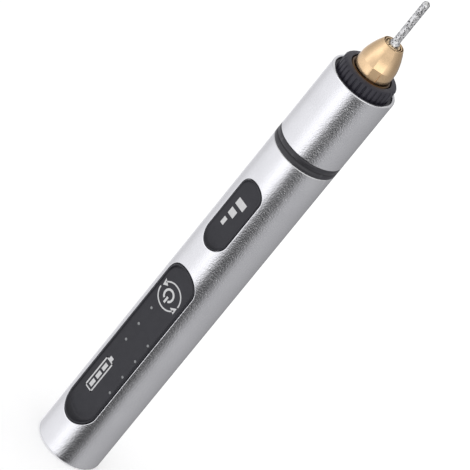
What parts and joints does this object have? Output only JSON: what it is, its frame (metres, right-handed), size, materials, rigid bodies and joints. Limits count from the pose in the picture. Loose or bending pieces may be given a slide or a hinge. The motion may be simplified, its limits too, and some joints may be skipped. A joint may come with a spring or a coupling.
{
  "type": "electric engraving pen",
  "caption": "Cordless engraving pen: aluminium barrel and sleeve, inset power key and lights, small motor in line with a ball-bearing spindle, brass collet nut and a grit-coated bit.",
  "frame": {"origin": "centre of the flat rear end, on which the pen stands", "axes": "+Z along the pen's axis from the rear end to the bit's tip, -Y the side with the inset key and front panel, +X to the right of someone who faces that side with the bit up"},
  "size_m": [0.02, 0.02, 0.1726],
  "materials": {
    "shell_aluminium": "bead-blasted satin, clear anodised",
    "panel_black": "fine matt grain, printed pale marks",
    "ring_black": "satin moulded",
    "brass": "turned and polished",
    "steel": "turned",
    "bearing_steel": "ground and polished",
    "grit_steel": "plated diamond grit on the rod, bright shank",
    "inner_plastic": "moulded",
    "board_green": "solder mask",
    "cell_wrap": "can in a shrink wrap",
    "copper": "drawn copper",
    "magnet_grey": "sintered ferrite",
    "clear_plastic": "frosted light pins",
    "lamp_white": "cast resin",
    "lead_red": "insulation",
    "lead_black": "insulation"
  },
  "bodies": {
    "housing": {"barrel": "shell_aluminium", "front_inlay": "panel_black", "accent_ring": "ring_black", "front_sleeve": "shell_aluminium", "nose_ring": "ring_black", "rear_cap": "ring_black", "cap_screw_1": "steel", "cap_screw_2": "steel", "charging_socket_shell": "steel", "charging_socket_tongue": "ring_black", "charging_board": "board_green", "chassis": "inner_plastic", "battery_cell": "cell_wrap", "battery_tab_rear": "steel", "battery_tab_front": "steel", "control_board": "board_green", "switch_body": "inner_plastic", "status_lamp_1": "lamp_white", "status_lamp_2": "lamp_white", "status_lamp_3": "lamp_white", "speed_lamp_1": "lamp_white", "speed_lamp_2": "lamp_white", "speed_lamp_3": "lamp_white", "speed_lamp_4": "lamp_white", "key_pin": "steel", "motor_can": "steel", "motor_end_bell": "inner_plastic", "motor_bush_rear": "brass", "motor_bush_front": "brass", "magnet_left": "magnet_grey", "magnet_right": "magnet_grey", "motor_terminal_left": "copper", "motor_terminal_right": "copper", "motor_lead_left": "lead_black", "motor_lead_right": "lead_red", "charging_lead_left": "lead_black", "charging_lead_right": "lead_red", "motor_collar": "inner_plastic", "motor_screw_1": "steel", "motor_screw_2": "steel", "bearing_block": "inner_plastic", "rear_bearing_outer": "bearing_steel", "front_bearing_outer": "bearing_steel"},
    "power_key": {"power_key": "panel_black", "status_light_guide": "clear_plastic", "speed_light_guide": "clear_plastic"},
    "switch_button": {"switch_button": "steel"},
    "spindle": {"spindle": "steel", "shaft_coupling": "brass", "motor_shaft": "steel", "rotor_core": "steel", "rotor_winding": "copper", "commutator": "copper", "rear_bearing_inner": "bearing_steel", "front_bearing_inner": "bearing_steel"},
    "rear_cage": {"rear_bearing_cage": "brass"},
    "front_cage": {"front_bearing_cage": "brass"},
    "collet": {"collet": "brass"},
    "nut": {"collet_nut": "brass"},
    "bit": {"engraving_bit": "grit_steel"}
  },
  "joints": [
    {"name": "key_press", "type": "hinge", "parent": "housing", "child": "power_key", "pos_m": [0, -0.00577, 0.0129], "axis": [-1, 0, 0], "range_deg": [0, 0.4], "stiffness_Nm_per_rad": 6.5},
    {"name": "switch_press", "type": "slide", "parent": "housing", "child": "switch_button", "axis": [0, 1, 0], "range_m": [0, 0.00033]},
    {"name": "spindle_spin", "type": "hinge", "parent": "housing", "child": "spindle", "pos_m": [0, 0, 0.13], "axis": [0, 0, 1], "continuous": true},
    {"name": "rear_cage_spin", "type": "hinge", "parent": "housing", "child": "rear_cage", "pos_m": [0, 0, 0.1239], "axis": [0, 0, 1], "continuous": true},
    {"name": "front_cage_spin", "type": "hinge", "parent": "housing", "child": "front_cage", "pos_m": [0, 0, 0.1339], "axis": [0, 0, 1], "continuous": true},
    {"name": "collet_travel", "type": "slide", "parent": "spindle", "child": "collet", "axis": [0, 0, 1], "range_m": [0, 0.0058]},
    {"name": "nut_turn", "type": "hinge", "parent": "collet", "child": "nut", "pos_m": [0, 0, 0.1515], "axis": [0, 0, 1], "range_deg": [0, 2790]},
    {"name": "bit_pull", "type": "slide", "parent": "collet", "child": "bit", "axis": [0, 0, 1], "range_m": [0, 0.0223]}
  ],
  "couplings": [
    {"joint": "switch_press", "follows": "key_press", "m_per_rad": 0.0469},
    {"joint": "rear_cage_spin", "follows": "spindle_spin", "ratio": 0.4533},
    {"joint": "front_cage_spin", "follows": "spindle_spin", "ratio": 0.4533},
    {"joint": "nut_turn", "follows": "collet_travel", "rad_per_m": 8377.6}
  ]
}
